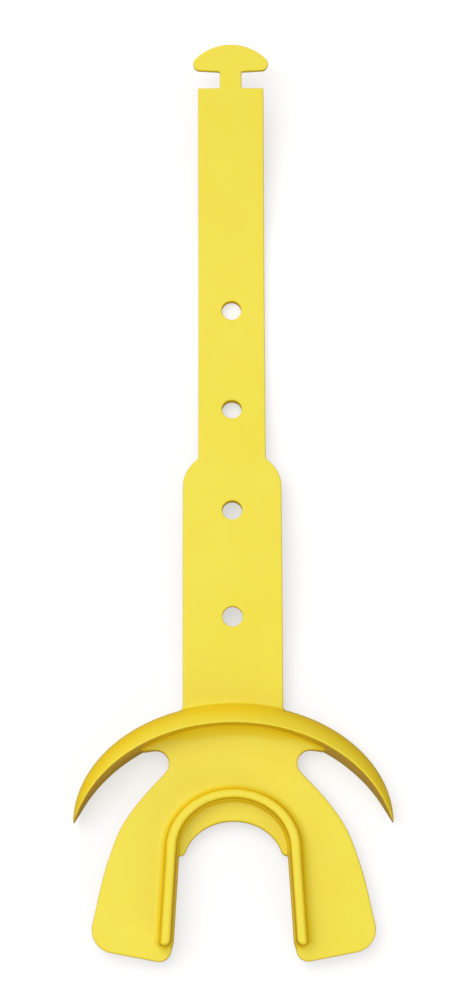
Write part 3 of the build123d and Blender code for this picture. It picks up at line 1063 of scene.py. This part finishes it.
# each piece stands for its nodes
guardNodes = ["lip_guard", "bite_plate_front", "lingual_ridge_front", "incisor_ledge", "strap_root"]
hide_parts(*guardNodes)
ends = [strapPoint(station) for station in strapSizes["rootZone"]]
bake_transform(guardPieces["guardAndRoot"])
for side, name in sides.items():
    low = name.lower()
    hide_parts("lip_guard_horn_" + low)
    zone = outwards[side] * lipSizes["hornZone"]
    ends = [archPlace @ (hornPoint[side] + zone * way) for way in (-1, 1)]
    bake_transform(guardPieces["horn" + name])
    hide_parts("bite_arm_" + low, "lingual_ridge_" + low)
    hinge, zone = plateSizes["armHinge"], plateSizes["armZone"]
    ends = [archPlace @ Vector((0, hinge - zone * way, rootHeight)) for way in (-1, 1)]
    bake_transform(guardPieces["arm" + name])
    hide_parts("toggle_wing_" + low)
    edges = [side * toggleSizes[edge] for edge in ("wingStart", "wingEnd")]
    ends = [archPlace @ Vector((edge, *straightLine(strapEnd))) for edge in edges]
    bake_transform(togglePieces["wing" + name])
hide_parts("strap_tail_end", "toggle_neck", "toggle_core")
ends = [strapPoint(strapEnd + way * toggleSizes["neckZone"]) for way in (-1, 1)]
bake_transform(togglePieces["toggleAndNeck"])

stageSizes = {
    "floorHalf": 3.0,
    "floorDrop": 0.0001,
    "floorSeen": (0.46, 0.46, 0.46, 1),
    "floorGlow": 0.57,  # lightens the shadows on the paper
    "floorBounce": (0.34, 0.31, 0.2, 1),
    "floorWarmth": 0.15,
    "skyTowards": (-0.45, 0.35, 0.8),
    "skyEdge": -0.4,
    "skyDark": 0.07,
    "skyBright": 0.82,
    "skySeen": 0.93,  # behind the table, which hides it in the main view
}
half = stageSizes["floorHalf"]
floorMesh = bpy.data.meshes.new("tableTop")
corners = [(x * half, y * half, -stageSizes["floorDrop"]) for x, y in ((-1, -1), (1, -1), (1, 1), (-1, 1))]
floorMesh.from_pydata(corners, [], [(0, 1, 2, 3)])
table = pieceObject("tableTop", floorMesh)
paper = bpy.data.materials.new("whitePaper")
paper.use_nodes = True
tree = paper.node_tree
tree.nodes.remove(tree.nodes["Principled BSDF"])
seen = wire(tree, "ShaderNodeBsdfDiffuse", {"Color": stageSizes["floorSeen"]})
bounce = wire(tree, "ShaderNodeBsdfDiffuse", {"Color": stageSizes["floorBounce"]})
glow = wire(tree, "ShaderNodeEmission", {"Strength": stageSizes["floorGlow"]})
warm = {"Color": stageSizes["floorBounce"], "Strength": stageSizes["floorWarmth"]}
warmth = wire(tree, "ShaderNodeEmission", warm)
bounced = wire(tree, "ShaderNodeAddShader", {0: bounce.outputs[0], 1: warmth.outputs[0]})
bright = wire(tree, "ShaderNodeAddShader", {0: seen.outputs[0], 1: glow.outputs[0]})
ray = wire(tree, "ShaderNodeLightPath").outputs["Is Camera Ray"]
upper = wire(tree, "ShaderNodeMixShader", {0: ray, 1: bounced.outputs[0], 2: bright.outputs[0]})
clear = wire(tree, "ShaderNodeBsdfTransparent")
below = wire(tree, "ShaderNodeNewGeometry").outputs["Backfacing"]
mixed = wire(tree, "ShaderNodeMixShader", {0: below, 1: upper.outputs[0], 2: clear.outputs[0]})
tree.links.new(mixed.outputs[0], tree.nodes["Material Output"].inputs["Surface"])
floorMesh.materials.append(paper)

# the room is brightest above, behind and to the left
world = bpy.data.worlds.new("studio")
bpy.context.scene.world = world
world.use_nodes = True
tree = world.node_tree
way = wire(tree, "ShaderNodeTexCoord").outputs["Generated"]
aim = tuple(Vector(stageSizes["skyTowards"]).normalized())
facing = wire(tree, "ShaderNodeVectorMath", {0: way, 1: aim}, operation="DOT_PRODUCT").outputs["Value"]
dark, bright = stageSizes["skyDark"], stageSizes["skyBright"]
strength = spread(tree, facing, stageSizes["skyEdge"], 1.0, dark, bright)
ray = wire(tree, "ShaderNodeLightPath").outputs["Is Camera Ray"]
seen = wire(tree, "ShaderNodeMix", {0: ray, 2: strength, 3: stageSizes["skySeen"]}).outputs[0]
tree.links.new(seen, tree.nodes["Background"].inputs["Strength"])
tree.nodes["Background"].inputs["Color"].default_value = (1, 1, 1, 1)


def softLight(name, place, aim, size, power):
    lamp = bpy.data.lights.new(name, "AREA")
    lamp.size = size
    lamp.energy = power
    holder = bpy.data.objects.new(name, lamp)
    bpy.context.scene.collection.objects.link(holder)
    holder.location = place
    holder.rotation_euler = (Vector(aim) - Vector(place)).to_track_quat("-Z", "Y").to_euler()


lamps = {
    "overheadLight": {"place": (-0.35, 0.25, 1.0), "aim": (0, 0, 0), "size": 0.9, "power": 5.6},
    "frontFill": {"place": (0.5, -0.75, 0.3), "aim": (0, -0.08, 0), "size": 0.5, "power": 2.6},
}
for name, values in lamps.items():
    softLight(name, **values)

cameraSizes = {
    "elevation": 77,
    "sensorHeight": 24,
    "lens": 54.12,
    "place": (-0.4, -44.28, 519.35),  # from the arch frame, above the bite plate's top
    "roll": -0.2,
    "clip": (0.05, 20),
}
camera = bpy.data.cameras.new("camera")
camera.sensor_fit = "VERTICAL"
camera.sensor_height = cameraSizes["sensorHeight"]
camera.lens = cameraSizes["lens"]
camera.clip_start, camera.clip_end = cameraSizes["clip"]
cameraHolder = bpy.data.objects.new("camera", camera)
bpy.context.scene.collection.objects.link(cameraHolder)
lift = math.radians(cameraSizes["elevation"])
forward = Vector((0, math.cos(lift), -math.sin(lift)))
upward = Vector((0, math.sin(lift), math.cos(lift)))
place = (Vector((0, archY, plateHigh)) + Vector(cameraSizes["place"])) * mm
turn = Matrix((Vector((1, 0, 0)), upward, -forward)).transposed().to_4x4()
roll = Matrix.Rotation(math.radians(cameraSizes["roll"]), 4, "Z")
cameraHolder.matrix_world = Matrix.Translation(place) @ turn @ roll
bpy.context.scene.camera = cameraHolder
bpy.context.scene.view_settings.view_transform = "Standard"
